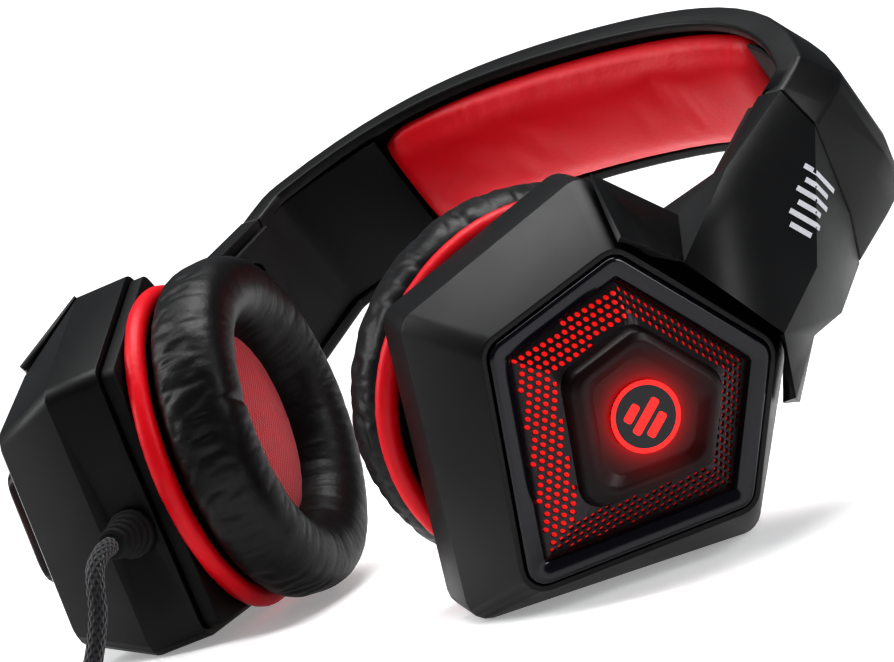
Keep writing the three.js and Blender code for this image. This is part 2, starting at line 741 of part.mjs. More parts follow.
const band = place(new THREE.Group(), bandFrame.clone());
band.add(
  part('headband_shell', headbandShell(), 'shell'),
  part('headband_strip', headbandStrip(), 'gloss'),
  part('headband_cushion', headbandCushion(), 'leatherette_red'),
);

const wearer = new THREE.Group();
wearer.add(band);
for (const side of [1, -1]) {
  const name = side > 0 ? 'right' : 'left';
  const cup = place(new THREE.Group(), cupFrame(side));
  const bores = side > 0 ? [] : [
    onSide(turned([[GLAND.neck + GAP, -6], [GLAND.neck + GAP, 3]], 16), GLAND.corner, GLAND.share, GLAND.z),
    onSide(turned([[MIC.radius + GAP, -16], [MIC.radius + GAP, 6]], 14), MIC.corner, MIC.share, MIC.z),
  ];
  cup.add(part(`${name}_cup_shell`, cupShell(bores), 'shell'));
  cup.add(part(`${name}_hinge_pin`, pinBody(PIN.radius, PIN.half), 'steel'));
  cup.add(...commonCupParts(name));
  if (side < 0) {
    cup.add(part('left_strain_relief', onSide(strainRelief(), GLAND.corner, GLAND.share, GLAND.z), 'rubber'));
    cup.add(...micParts());
    cup.add(part('left_control_board', slab(rounded([[-14, -12], [14, -12], [14, 8], [-14, 8]]
      .map(([x, y]) => new THREE.Vector2(x, y)), 2, 2), 20.5, 1.6), 'board'));
  }
  wearer.add(cup);
  wearer.add(part(`${name}_arm`, mirrored(arm(), side), 'shell'));
  wearer.add(part(`${name}_slide_blade`, mirrored(hull(fromBand(bladeCorners(0))), side), 'steel'));
  wearer.add(part(`${name}_arm_cover`, mirrored(armCover(), side), 'shell'));
  COVER_SCREWS.forEach((spot, i) => wearer.add(
    part(`${name}_cover_screw_${i + 1}`, mirrored(coverScrew(spot), side), 'steel')));
  const liner = templeLiner().applyMatrix4(bandFrame);
  wearer.add(part(`${name}_temple_liner`, mirrored(liner, side), 'shell'));
}
wearer.rotation.x = -restTilt();

const headset = new THREE.Group();
headset.add(wearer);
const box = new THREE.Box3().setFromObject(headset, true);
const middle = box.getCenter(new THREE.Vector3());
wearer.position.set(-middle.x, -middle.y, -box.min.z);

headset.add(
  part('cord_upper', cordTube(CORD_UPPER, 34), 'braid'),
  part('cord_lower', cordTube(CORD_LOWER, 12), 'braid'),
  part('cord_coil', coilRing(), 'braid'),
  part('cord_end', cordTube(CORD_END, 16), 'braid'),
  ...remoteParts(),
  ...plugParts(),
);

export default headset;
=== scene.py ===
# Over-ear gaming headset lying on the lower front flats of its cups, its spare cord coiled beside it.
import json
import math

import bpy
import bmesh
from mathutils import Matrix, Vector, noise
from mathutils.bvhtree import BVHTree
from mathutils.geometry import delaunay_2d_cdt


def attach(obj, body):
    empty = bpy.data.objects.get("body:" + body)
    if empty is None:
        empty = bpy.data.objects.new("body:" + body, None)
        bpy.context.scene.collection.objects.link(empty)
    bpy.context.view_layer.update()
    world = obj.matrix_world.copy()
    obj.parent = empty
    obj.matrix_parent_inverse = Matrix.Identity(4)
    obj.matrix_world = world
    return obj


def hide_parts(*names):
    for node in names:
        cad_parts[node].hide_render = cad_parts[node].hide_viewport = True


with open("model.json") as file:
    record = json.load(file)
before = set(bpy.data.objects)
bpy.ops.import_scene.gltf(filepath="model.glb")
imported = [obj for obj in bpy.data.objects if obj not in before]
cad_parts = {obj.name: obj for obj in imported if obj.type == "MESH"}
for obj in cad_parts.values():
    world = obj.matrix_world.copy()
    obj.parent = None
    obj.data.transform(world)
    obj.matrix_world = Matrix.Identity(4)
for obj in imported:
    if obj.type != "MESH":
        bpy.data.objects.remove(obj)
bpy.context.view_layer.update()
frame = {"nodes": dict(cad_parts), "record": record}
nodes = frame["nodes"]
scene = bpy.context.scene

# ---- camera ------------------------------------------------------------------------------
# A long lens from the right of the headset, a little above the table and leaning to one side.
camera_data = bpy.data.cameras.new("camera")
camera_data.lens = 140.94
camera_data.sensor_width = 36
camera_data.clip_start = 0.05
camera_data.clip_end = 50
camera = bpy.data.objects.new("camera", camera_data)
scene.collection.objects.link(camera)
sight = Vector((-0.7162, 0.693, -0.0821)).normalized()
lean = Vector((0.1368, 0.2548, 0.9573))
across = sight.cross(lean).normalized()
lean = across.cross(sight)
turn = Matrix((across, lean, -sight)).transposed().to_4x4()
camera.matrix_world = Matrix.Translation((0.5877, -0.5743, 0.12156)) @ turn
scene.camera = camera

# ---- cord --------------------------------------------------------------------------------
# Copper in a rubber jacket under a woven black braid, 4.4 mm thick and 2.1 m long. It hangs from
# the left cup to the inline remote, then lies in a coil of twelve turns, and ends in its plug.


class Flow:
    """One value in a node tree. Sums and products of values add their Math nodes."""

    def __init__(self, tree, socket):
        self.tree = tree
        self.socket = socket

    def math(self, operation, *others):
        added = self.tree.nodes.new("ShaderNodeMath")
        added.operation = operation
        for socket, value in zip(added.inputs, others):
            if isinstance(value, Flow):
                self.tree.links.new(value.socket, socket)
            else:
                socket.default_value = value
        return Flow(self.tree, added.outputs[0])

    def __add__(self, other):
        return self.math("ADD", self, other)

    def __radd__(self, other):
        return self.math("ADD", other, self)

    def __sub__(self, other):
        return self.math("SUBTRACT", self, other)

    def __mul__(self, other):
        return self.math("MULTIPLY", self, other)

    def __truediv__(self, other):
        return self.math("DIVIDE", self, other)

    def __pow__(self, other):
        return self.math("POWER", self, other)

    def __abs__(self):
        return self.math("ABSOLUTE", self)


class Finish:
    """A material under construction: one Principled shader and the nodes that feed it."""

    def __init__(self, name, **constants):
        self.material = bpy.data.materials.new(name)
        self.material.use_nodes = True
        self.tree = self.material.node_tree
        self.shader = self.tree.nodes["Principled BSDF"]
        for key, value in constants.items():
            self.shader.inputs[key.replace("_", " ")].default_value = value

    def node(self, kind, settings=None, output=0, **sockets):
        """Adds one node: its settings first, then the values or links of its sockets."""
        added = self.tree.nodes.new(kind)
        for key, value in (settings or {}).items():
            setattr(added, key, value)
        for key, value in sockets.items():
            name = key.replace("_", " ")
            place = int(name[1:]) if name[0] == "n" and name[1:].isdigit() else name
            if isinstance(value, Flow):
                self.tree.links.new(value.socket, added.inputs[place])
            else:
                added.inputs[place].default_value = value
        return Flow(self.tree, added.outputs[output])

    def feed(self, **sockets):
        for key, value in sockets.items():
            self.tree.links.new(value.socket, self.shader.inputs[key.replace("_", " ")])
        return self.material

    def mix(self, share, low, high):
        """Colour between two colours."""
        return self.node("ShaderNodeMix", {"data_type": "RGBA"}, 2, n0=share, n6=low, n7=high)

    def place(self):
        """The resting place on the piece, in metres."""
        return self.node("ShaderNodeTexCoord", output=3)

    def parts(self, vector):
        split = self.tree.nodes.new("ShaderNodeSeparateXYZ")
        self.tree.links.new(vector.socket, split.inputs[0])
        return [Flow(self.tree, socket) for socket in split.outputs]

    def grain(self, scale, detail=2.0, roughness=0.5, vector=None):
        """Soft uneven value, 0 to 1, with features of about 1 / scale metres."""
        return self.node("ShaderNodeTexNoise", None, 0, Vector=vector or self.place(),
                         Scale=scale, Detail=detail, Roughness=roughness)

    def bump(self, height, distance, strength=1.0):
        return self.node("ShaderNodeBump", None, 0, Height=height, Distance=distance, Strength=strength)

    def held(self, value):
        """Value held between 0 and 1."""
        return self.node("ShaderNodeClamp", None, 0, Value=value)

    def faded(self, value):
        """1 at nothing, falling off fast as the value grows less than nothing."""
        return self.node("ShaderNodeMath", {"operation": "EXPONENT"}, 0, n0=value)


def new_piece(name, vertices, faces, material, smooth=True):
    """A mesh piece of the object."""
    mesh = bpy.data.meshes.new(name)
    mesh.from_pydata([tuple(v) for v in vertices], [], faces)
    mesh.validate()
    mesh.update()
    mesh.materials.append(material)
    mesh.polygons.foreach_set("use_smooth", [smooth] * len(mesh.polygons))
    piece = bpy.data.objects.new(name, mesh)
    scene.collection.objects.link(piece)
    return piece


def smooth_route(points, step):
    """Evenly spaced points on one smooth curve through the given points."""
    points = [Vector(p) for p in points]
    ends = [points[0] * 2 - points[1], *points, points[-1] * 2 - points[-2]]
    dense = []
    for a, b, c, d in zip(ends, ends[1:], ends[2:], ends[3:]):
        for i in range(12):
            t = i / 12
            dense.append(0.5 * ((2 * b) + (c - a) * t + (2 * a - 5 * b + 4 * c - d) * t ** 2
                                + (3 * b - a - 3 * c + d) * t ** 3))
    dense.append(points[-1])
    route = [dense[0]]
    carried = 0.0
    for before, after in zip(dense, dense[1:]):
        length = (after - before).length
        while carried + length >= step and length > 0:
            before = before.lerp(after, (step - carried) / length)
            length = (after - before).length
            route.append(before.copy())
            carried = 0.0
        carried += length
    if (route[-1] - dense[-1]).length < step * 0.5:
        route.pop()
    return [*route, dense[-1]]


def cord_mesh(name, route, radius, material, sides=14):
    """Round tube along a route, its map in turns round and diameters along."""
    frames = []
    side = None
    for i, point in enumerate(route):
        ahead = (route[min(i + 1, len(route) - 1)] - route[max(i - 1, 0)]).normalized()
        if side is None:
            side = ahead.orthogonal().normalized()
        side = (side - ahead * side.dot(ahead)).normalized()
        frames.append((point, side.copy(), ahead.cross(side)))
    vertices = []
    for point, a, b in frames:
        for k in range(sides):
            angle = 2 * math.pi * k / sides
            vertices.append(point + (a * math.cos(angle) + b * math.sin(angle)) * radius)
    faces = [[i * sides + k, i * sides + (k + 1) % sides,
              (i + 1) * sides + (k + 1) % sides, (i + 1) * sides + k]
             for i in range(len(route) - 1) for k in range(sides)]
    faces.append(list(range(sides))[::-1])
    faces.append([(len(route) - 1) * sides + k for k in range(sides)])
    piece = new_piece(name, vertices, faces, material)
    layer = piece.data.uv_layers.new(name="along")
    travelled = [0.0]
    for before, after in zip(route, route[1:]):
        travelled.append(travelled[-1] + (after - before).length)
    for polygon in piece.data.polygons[:len(faces) - 2]:
        i, k = divmod(polygon.index, sides)
        corners = [(i, k), (i, k + 1), (i + 1, k + 1), (i + 1, k)]
        for loop, (ring, turned) in zip(polygon.loop_indices, corners):
            layer.data[loop].uv = (travelled[ring] / (2 * radius), turned / sides)
    return piece


braid = Finish("braid", Specular_IOR_Level=0.35, Sheen_Weight=0.25, Sheen_Roughness=0.4)
along, around, _ = braid.parts(braid.node("ShaderNodeTexCoord", output=2))
strand_a = along.math("SINE", along * 11.0 + around * (20 * math.pi))
strand_b = along.math("SINE", along * 11.0 - around * (20 * math.pi))
woven = strand_a.math("MAXIMUM", strand_a, strand_b)
fuzz = braid.grain(2200, 3)
# Painted shade and highlight: the colour follows the weave, lighter on the strands' ridges and darker in the
# hollows between them; the fuzz is the braid's own uneven tone.
shade = braid.mix(woven * 0.4 + fuzz * 0.5, (0.006, 0.006, 0.007, 1), (0.045, 0.045, 0.05, 1))
BRAID = braid.feed(Base_Color=shade, Roughness=0.5 + fuzz * 0.35, Normal=braid.bump(woven, 0.00025))

CORD_RADIUS = 0.0022
upper_points = [
    (-42.87, -85.83, 30.46), (-40.4, -90.3, 30), (-38.2, -95.2, 27.6), (-36.8, -97.8, 23.5),
    (-36.4, -99.4, 18.5), (-36.5, -102, 12.8), (-36.8, -105.2, 7.4), (-37.8, -109, 4.2),
    (-40.3, -112, 3.5), (-44, -114.2, 4), (-46.4, -117, 4.6), (-47, -119.4, 4.8), (-47, -121.6, 4.8),
]
lower_points = [
    (-47, -166.4, 4.8), (-47, -168.4, 4.8), (-47.3, -171, 4.2), (-49, -175, 2.9),
    (-52.4, -180, 2.4), (-56.4, -184, 2.35), (-58.9, -188.5, 2.35),
]
coil_x, coil_y = -95, -192
turn_radii = (29.4, 25.0, 20.6)
layer_rise = 4.28


def eased(value, start, end):
    """0 before start, 1 after end and a soft change between."""
    share = min(1, max(0, (value - start) / (end - start)))
    return share * share * (3 - 2 * share)


def coil_point(turns):
    """Place on the coil after a number of clockwise turns: three wide and four high."""
    radius = 35.4 + (turn_radii[0] - 35.4) * eased(turns, 0.02, 0.35)
    rise = 0.0
    for change in range(1, 12):
        step = change % 3
        layer = change // 3
        if step:
            radius += (-4.4 if layer % 2 == 0 else 4.4) * eased(turns, change, change + 0.3)
        else:
            rise += layer_rise * eased(turns, change, change + 0.3)
    radius += (34.2 - turn_radii[0]) * eased(turns, 11.98, 12.14) + 1.2 * eased(turns, 12.2, 12.5)
    rise -= 3 * layer_rise * eased(turns, 12.1, 12.48)
    angle = -2 * math.pi * turns
    return (coil_x + radius * math.cos(angle), coil_y + radius * math.sin(angle), 2.35 + rise)


end_points = [(-131, -184, 2.35), (-133.4, -175, 2.4), (-136.6, -167, 2.8), (-138.6, -160, 3.6),
              (-139, -153.3, 4)]
coil_points = [coil_point(i / 24) for i in range(0, 300)]
upper_route = smooth_route([Vector(p) / 1000 for p in upper_points], 0.0012)
lower_route = smooth_route([Vector(p) / 1000 for p in lower_points + coil_points + end_points], 0.0022)
cord_above = cord_mesh("cord_above_remote", upper_route, CORD_RADIUS, BRAID)
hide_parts("cord_upper")
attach(cord_above, "left_cup")
cord_below = cord_mesh("cord_below_remote", lower_route, CORD_RADIUS, BRAID)
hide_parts("cord_lower", "cord_coil", "cord_end")
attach(cord_below, "left_cup")

# ---- moulded shells ----------------------------------------------------------------------
# Headband, cup shells and arms: ABS with a soft-touch black coat, a fine spark grain in the
# mould and softened edges. Each is one moulding, screwed to the next from inside.


def moulded(name, dark, light, rough, grain_depth=0.00002):
    """Plastic or rubber from a spark-eroded mould, clouded a little by handling."""
    plastic = Finish(name, Specular_IOR_Level=0.3)
    fine = plastic.grain(5200, 2)
    cloudy = plastic.grain(38, 3)
    handled = plastic.grain(120, 4)
    shade = plastic.mix(cloudy * 0.6 + fine * 0.4, (*dark, 1), (*light, 1))
    return plastic.feed(
        Base_Color=shade,
        Roughness=(rough - 0.05) + handled * 0.09 + fine * 0.05,
        Normal=plastic.bump(fine + cloudy * 0.2, grain_depth, 0.6))


def soften(piece, width, angle=24, segments=3):
    """Rounds the hard edges that a moulding doesn't have."""
    weld = piece.modifiers.new("joined", "WELD")
    weld.merge_threshold = 0.00001
    bevel = piece.modifiers.new("edges", "BEVEL")
    bevel.width = width
    bevel.segments = segments
    bevel.limit_method = "ANGLE"
    bevel.angle_limit = math.radians(angle)
    bevel.use_clamp_overlap = True
    bevel.harden_normals = True
    piece.data.polygons.foreach_set("use_smooth", [True] * len(piece.data.polygons))


def finish_node(name, material, width=0.0, angle=24, segments=3):
    """Gives a body its material, and softens its edges where a width is given."""
    piece = nodes[name]
    piece.data.materials.clear()
    piece.data.materials.append(material)
    if width:
        soften(piece, width, angle, segments)


SHELL = moulded("soft_touch_black", (0.0035, 0.0035, 0.0038), (0.006, 0.006, 0.0066), 0.40)
INNER = moulded("inner_black", (0.0045, 0.0045, 0.0048), (0.0075, 0.0075, 0.008), 0.55, 0.00004)
finish_node("headband_shell", SHELL, 0.0009, 16, 4)
for side in ("right", "left"):
    finish_node(f"{side}_cup_shell", SHELL, 0.0009, 20, 4)
    finish_node(f"{side}_arm", SHELL, 0.0009, 20, 4)
    finish_node(f"{side}_arm_cover", INNER, 0.0004)
    finish_node(f"{side}_temple_liner", INNER, 0.0004)
    finish_node(f"{side}_inner_plate", INNER, 0.0004)

# ---- cup frames --------------------------------------------------------------------------
# The two cups mirror each other: each face looks out and a little down, on a pin that lets it
# tilt. Sizes of their pieces are given across the face, up the face and out of it.
WINDOW = ((-20.2, 34.5), (-34, 4.2), (0, -34.2), (34, 4.2), (20.2, 34.5))
TOE = math.radians(25.5)
YAW = math.radians(-17.3)
PIN_IN_CUP = (0, 0.036, 0.020)
LOW_CORNER = 47
SIDE_CORNER = 0.8
pin_places = {joint["name"]: joint for joint in frame["record"]["behaviour"]["joints"]}


def worn_axes(sign):
    """A worn cup's directions across, up and out of its face: sign is 1 for the right cup."""
    up = Vector((sign * math.sin(TOE), 0, math.cos(TOE)))
    out = Vector((sign * math.cos(TOE) * math.cos(YAW), math.sin(YAW), -math.sin(TOE) * math.cos(YAW)))
    return up.cross(out), up, out


def rest_tilt():
    """How far forward the headset leans, so that each cup's lower front edge lies level."""
    across_face, up, _ = worn_axes(1)
    edge = across_face * LOW_CORNER + up * (SIDE_CORNER + LOW_CORNER)
    return math.atan2(edge.z, edge.y)


def cup_frame(side):
    """Matrix from a cup's own millimetres to the resting headset, from its pin and its mount."""
    worn = Matrix(worn_axes(1 if side == "right" else -1)).transposed()
    rested = Matrix.Rotation(-rest_tilt(), 3, "X") @ worn
    origin = Vector(pin_places[f"{side}_tilt"]["pos_m"]) - rested @ Vector(PIN_IN_CUP)
    return Matrix.Translation(origin) @ rested.to_4x4() @ Matrix.Scale(0.001, 4)


CUPS = {side: cup_frame(side) for side in ("right", "left")}


def inset(corners, distance):
    """Every side of a polygon moved inward."""
    moved = []
    for i, corner in enumerate(corners):
        corner = Vector(corner)
        back = (Vector(corners[i - 1]) - corner).normalized()
        on = (Vector(corners[(i + 1) % len(corners)]) - corner).normalized()
        half = back.angle(on) / 2
        moved.append(corner + (back + on).normalized() * (distance / math.sin(half)))
    return moved


def rounded(corners, radius, steps):
    """Polygon with arcs at its corners, and points along its sides."""
    points = []
    for i, corner in enumerate(corners):
        corner = Vector(corner)
        back = (Vector(corners[i - 1]) - corner).normalized()
        on = (Vector(corners[(i + 1) % len(corners)]) - corner).normalized()
        half = back.angle(on) / 2
        centre = corner + (back + on).normalized() * (radius / math.sin(half))
        start = corner + back * (radius / math.tan(half)) - centre
        end = corner + on * (radius / math.tan(half)) - centre
        sweep = (math.atan2(end.y, end.x) - math.atan2(start.y, start.x) + math.pi) % (2 * math.pi) - math.pi
        first = math.atan2(start.y, start.x)
        for k in range(steps + 1):
            angle = first + sweep * k / steps
            points.append(centre + Vector((math.cos(angle), math.sin(angle))) * radius)
    return points


def loops_to_piece(name, loops, material, cup, wrapped=False):
    """Surface through closed loops given in a cup's millimetres."""
    count = len(loops[0])
    matrix = CUPS[cup]
    vertices = [matrix @ Vector(p) for loop in loops for p in loop]
    spans = len(loops) if wrapped else len(loops) - 1
    faces = []
    for i in range(spans):
        j = (i + 1) % len(loops)
        faces += [[i * count + k, i * count + (k + 1) % count, j * count + (k + 1) % count, j * count + k]
                  for k in range(count)]
    return new_piece(name, vertices, faces, material)


def outward(piece):
    """Turns a closed piece's faces to point out."""
    work = bmesh.new()
    work.from_mesh(piece.data)
    bmesh.ops.recalc_face_normals(work, faces=work.faces)
    work.to_mesh(piece.data)
    work.free()


# ---- lit grilles -------------------------------------------------------------------------
# A pressed five-sided steel sheet, painted near black, with close rows of round holes. A red
# light guide glows behind it, brightest near its corner lamps.
sheet_low = 32.5
sheet_high = 38.0
window_edge = [Vector(p) for p in inset(WINDOW, 4.65)]
badge_share = 0.57
badge_raised = 4.4
badge_corner = 4.4
badge_corners = [Vector((x * badge_share, y * badge_share + badge_raised)) for x, y in WINDOW]
badge_edge = [Vector(p) for p in inset(badge_corners, -0.05)]
hole_pitch = 1.72
hole_radius = 0.6
row_pitch = hole_pitch * 0.866
edge_metal = 0.06


def side_distances(point, corners):
    """Distance of a point inside each side of a polygon; negative outside."""
    area = sum(a.x * b.y - b.x * a.y for a, b in zip(corners, corners[1:] + corners[:1]))
    turn_sign = 1 if area > 0 else -1
    found = []
    for a, b in zip(corners, corners[1:] + corners[:1]):
        along_side = (b - a).normalized()
        found.append(turn_sign * (along_side.x * (point.y - a.y) - along_side.y * (point.x - a.x)))
    return found


def sheet_height(point):
    """How far out the pressed sheet stands at a point of the face."""
    outer = side_distances(point, window_edge)
    inner = side_distances(point, badge_edge)
    share = min(o / (o - i) for o, i in zip(outer, inner))
    return sheet_low + (sheet_high - sheet_low) * min(1, max(0, share))


def hole_centre(row, column):
    """Centre of one hole of the staggered rows."""
    return Vector(((column + 0.5 * (row % 2)) * hole_pitch, row * row_pitch + 2))


def perforated_sheet():
    """Flat outline with its holes, cut into triangles, then raised into five slopes."""
    outer = rounded(window_edge, 1.0, 3)
    inner = rounded(badge_edge, badge_corner, 5)
    points = [*outer, *inner]
    edges = [(i, (i + 1) % len(outer)) for i in range(len(outer))]
    edges += [(len(outer) + i, len(outer) + (i + 1) % len(inner)) for i in range(len(inner))]
    rows = int(90 / row_pitch)
    holes = set()
    for row in range(-rows // 2, rows // 2 + 1):
        for column in range(-28, 29):
            centre = hole_centre(row, column)
            if min(side_distances(centre, window_edge)) < hole_radius + edge_metal:
                continue
            if min(side_distances(centre, badge_edge)) > -(hole_radius + edge_metal):
                continue
            holes.add((round(centre.x, 3), round(centre.y, 3)))
            first = len(points)
            for k in range(10):
                angle = 2 * math.pi * k / 10
                points.append(centre + Vector((math.cos(angle), math.sin(angle))) * hole_radius)
            edges += [(first + k, first + (k + 1) % 10) for k in range(10)]
    flat, _, triangles, _, _, _ = delaunay_2d_cdt(points, edges, [], 1, 1e-6)
    kept = []
    for triangle in triangles:
        middle = sum((flat[k] for k in triangle), Vector((0, 0))) / 3
        row = round((middle.y - 2) / row_pitch)
        hole = hole_centre(row, round(middle.x / hole_pitch - 0.5 * (row % 2)))
        known = (round(hole.x, 3), round(hole.y, 3)) in holes
        in_hole = known and (middle - hole).length < hole_radius * 0.9
        if not in_hole and min(side_distances(middle, badge_edge)) < 0.9:
            kept.append(list(triangle))
    used = sorted({k for triangle in kept for k in triangle})
    renumber = {old: new for new, old in enumerate(used)}
    raised = [Vector((flat[k].x, flat[k].y, sheet_height(flat[k]))) for k in used]
    return raised, [[renumber[k] for k in triangle] for triangle in kept]


paint = Finish("grille_paint", Metallic=0.75, Specular_IOR_Level=0.5)
speck = paint.grain(3000, 2)
GRILLE = paint.feed(
    Base_Color=paint.mix(speck, (0.02, 0.018, 0.02, 1), (0.06, 0.05, 0.055, 1)),
    Roughness=0.3 + speck * 0.2, Normal=paint.bump(speck, 0.00002))
grille_points, grille_faces = perforated_sheet()
for side in ("right", "left"):
    placed = [CUPS[side] @ p for p in grille_points]
    sheet = new_piece(f"{side}_grille_sheet", placed, grille_faces, GRILLE, False)
    thick = sheet.modifiers.new("thickness", "SOLIDIFY")
    thick.thickness = 0.0006
    thick.offset = -1
    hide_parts(f"{side}_grille")
    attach(sheet, f"{side}_cup")


def cup_places(finish, side):
    """Place across, up and out of one cup's face, in metres."""
    away = finish.node("ShaderNodeVectorMath", {"operation": "SUBTRACT"}, 0, n0=finish.place(),
                       n1=tuple(CUPS[side].translation))
    turned = CUPS[side].to_3x3().normalized()
    return [finish.node("ShaderNodeVectorMath", {"operation": "DOT_PRODUCT"}, 1, n0=away,
                        n1=tuple(turned.col[k])) for k in range(3)]


def glowing(name, side, spots, base, peak, reach):
    """Red plastic that glows from inside, more strongly near its lamps."""
    lit = Finish(name, Roughness=0.35, Emission_Strength=1.0)
    across_face, up_face, _ = cup_places(lit, side)
    glow = None
    for x, y, power in spots:
        gap_x = across_face - x / 1000
        gap_y = up_face - y / 1000
        far = (gap_x * gap_x + gap_y * gap_y) / (reach * reach)
        one = lit.faded(far * -1.0) * power
        glow = one if glow is None else glow + one
    patchy = lit.grain(90, 2)
    amount = lit.held(glow * (0.75 + patchy * 0.5))
    return lit.feed(
        Base_Color=lit.mix(patchy, (0.30, 0.004, 0.006, 1), (0.42, 0.01, 0.012, 1)),
        Emission_Color=lit.mix(amount, base, peak))


lamp_spots = ((-26, 8, 0.75), (-12, 28, 0.65), (14, 28, 0.3), (25, 8, 0.2), (-2, -24, 0.6), (-15, -8, 0.7))
for side in ("right", "left"):
    guide = glowing(f"{side}_light_guide_red", side, lamp_spots,
                    (0.13, 0.002, 0.004, 1), (0.62, 0.020, 0.018, 1), 0.019)
    finish_node(f"{side}_light_guide", guide)

# ---- bezels and badges -------------------------------------------------------------------
# Piano-black ABS. The bezel frames the grille; the badge is a thick five-sided button with a
# hollowed face and a round lit mark of three level bars inside a ring.
gloss = Finish("piano_black", Specular_IOR_Level=0.3, Coat_Weight=0.25, Coat_Roughness=0.05)
dust = gloss.grain(900, 4)
GLOSS = gloss.feed(Base_Color=gloss.mix(dust, (0.004, 0.0035, 0.006, 1), (0.007, 0.006, 0.010, 1)),
                   Roughness=0.10 + dust * 0.10)
mark_lit = Finish("mark_light", Roughness=0.4, Emission_Strength=1.0)
mark_grain = mark_lit.grain(700, 2)
MARK = mark_lit.feed(Base_Color=mark_lit.mix(mark_grain, (0.6, 0.004, 0.003, 1), (0.7, 0.01, 0.008, 1)),
                     Emission_Color=mark_lit.mix(mark_grain, (0.80, 0.006, 0.004, 1), (1.0, 0.012, 0.008, 1)))
mark_height = 8.4
mark_level = 42.13
ring_outer = 7.6
ring_inner = 6.6


def badge_finish(side):
    """Satin black with a painted red glow round the lit mark: the mark's light falling on the badge, painted
    as emission.
    """
    satin = Finish(f"{side}_badge_black", Specular_IOR_Level=0.22, Emission_Strength=1.0)
    x, y, _ = cup_places(satin, side)
    gap_y = y - mark_height / 1000
    away = (x * x + gap_y * gap_y) ** 0.5
    # Painted light: a red glow painted as emission on the badge, full inside the ring and fading over a few
    # millimetres outside it.
    painted_red_glow = satin.faded((away - 0.0075) * -420.0)
    fine = satin.grain(4200, 2)
    return satin.feed(
        Base_Color=satin.mix(fine, (0.003, 0.003, 0.0035, 1), (0.006, 0.006, 0.0066, 1)),
        Roughness=0.32 + fine * 0.1,
        Emission_Color=satin.mix(satin.held(painted_red_glow), (0, 0, 0, 1), (0.32, 0.006, 0.006, 1)),
        Normal=satin.bump(fine, 0.00001))


def mark_parts():
    """Ring and three rounded bars, as flat outlines in the badge's face."""
    shapes = []
    for k in range(48):
        a = 2 * math.pi * k / 48
        b = 2 * math.pi * (k + 1) / 48
        corners = ((ring_outer, a), (ring_outer, b), (ring_inner, b), (ring_inner, a))
        shapes.append([Vector((r * math.cos(t), r * math.sin(t))) for r, t in corners])
    for x, low, high in ((-3.0, -3.1, 1.1), (0, -4.2, 4.3), (3.0, -3.1, 2.6)):
        bar = [(x - 1, low), (x + 1, low), (x + 1, high), (x - 1, high)]
        shapes.append(rounded([Vector(p) for p in bar], 0.6, 4))
    return shapes


for side in ("right", "left"):
    finish_node(f"{side}_bezel", GLOSS, 0.00025, 20, 2)
    finish_node(f"{side}_badge", badge_finish(side), 0.0004, 18, 3)
    vertices = []
    faces = []
    for shape in mark_parts():
        first = len(vertices)
        vertices += [CUPS[side] @ Vector((p.x, p.y + mark_height, mark_level)) for p in shape]
        faces.append(list(range(first, first + len(shape))))
    mark = new_piece(f"{side}_mark", vertices, faces, MARK, False)
    raised = mark.modifiers.new("thickness", "SOLIDIFY")
    raised.thickness = 0.00015
    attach(mark, f"{side}_cup")
    finish_node(f"{side}_badge_light", GLOSS)

# ---- red piping --------------------------------------------------------------------------
# A round welt of red leatherette over foam cord, glued between each inner plate and its oval
# pad. Its skin puckers lightly all the way round.


def leatherette(name, deep, bright, rough, cell, fold_depth):
    """Polyurethane skin with a fine pebble, faint creases and an uneven satin."""
    skin = Finish(name, Specular_IOR_Level=0.32)
    pebbles = skin.node("ShaderNodeTexVoronoi", {"feature": "SMOOTH_F1"}, 0, Vector=skin.place(),
                        Scale=cell, Smoothness=0.6)
    folds = skin.grain(160, 5, 0.62)
    broad = skin.grain(32, 3)
    height = pebbles * 0.55 + folds * 0.9
    shade = skin.mix(broad * 0.55 + folds * 0.45, (*deep, 1), (*bright, 1))
    return skin.feed(Base_Color=shade, Roughness=(rough - 0.08) + folds * 0.16 + pebbles * 0.06,
                     Normal=skin.bump(height, fold_depth, 0.55))


RED_SKIN = leatherette("red_leatherette", (0.50, 0.002, 0.010), (0.66, 0.004, 0.018), 0.42, 900, 0.00010)


OVAL_ACROSS = 41.8
OVAL_UP = 44.2
oval_middles = {"right": Vector((-2.6, 6.6)), "left": Vector((2.6, 6.6))}


def oval_at(distance, count, cup):
    """The pad's oval moved inward, as points round it. It sits a little to the rear of its cup."""
    points = []
    for i in range(count):
        angle = 2 * math.pi * i / count
        reached = Vector(((OVAL_ACROSS - distance) * math.cos(angle), (OVAL_UP - distance) * math.sin(angle)))
        points.append(oval_middles[cup] + reached)
    return points


def piping_loops(cup, count=300, section=14):
    """Rings along the welt, whose thickness wanders a little round the oval."""
    loops = []
    middle = oval_at(4.8, count, cup)
    for k in range(section):
        angle = 2 * math.pi * k / section
        loop = []
        for i, spot in enumerate(middle):
            ahead = (middle[(i + 2) % count] - middle[i - 2]).normalized()
            out = Vector((ahead.y, -ahead.x))
            if out.dot(spot) < 0:
                out = -out
            pucker = noise.noise(Vector((i * 0.55, k * 0.35, 3.1))) * 0.10
            broad = noise.noise(Vector((i * 0.09, 0.0, 9.4))) * 0.14
            thick = 2.62 + pucker + broad
            away = spot + out * (thick * math.cos(angle))
            loop.append((away.x, away.y, -7.1 + thick * math.sin(angle)))
        loops.append(loop)
    return loops


for side in ("right", "left"):
    welt = loops_to_piece(f"{side}_welt", piping_loops(side), RED_SKIN, side, wrapped=True)
    outward(welt)
    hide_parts(f"{side}_piping")
    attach(welt, f"{side}_cup")

# ---- ear pads ----------------------------------------------------------------------------
# Memory foam rings in soft black leatherette, gathered at the base so that the skin wrinkles
# across the ring, with one joining seam over the top.
BLACK_SKIN = leatherette("black_leatherette", (0.004, 0.004, 0.0043), (0.008, 0.008, 0.0086), 0.42,
                         1100, 0.00012)
pad_count = 288
pad_section = 36
seam_angle = math.radians(-28)


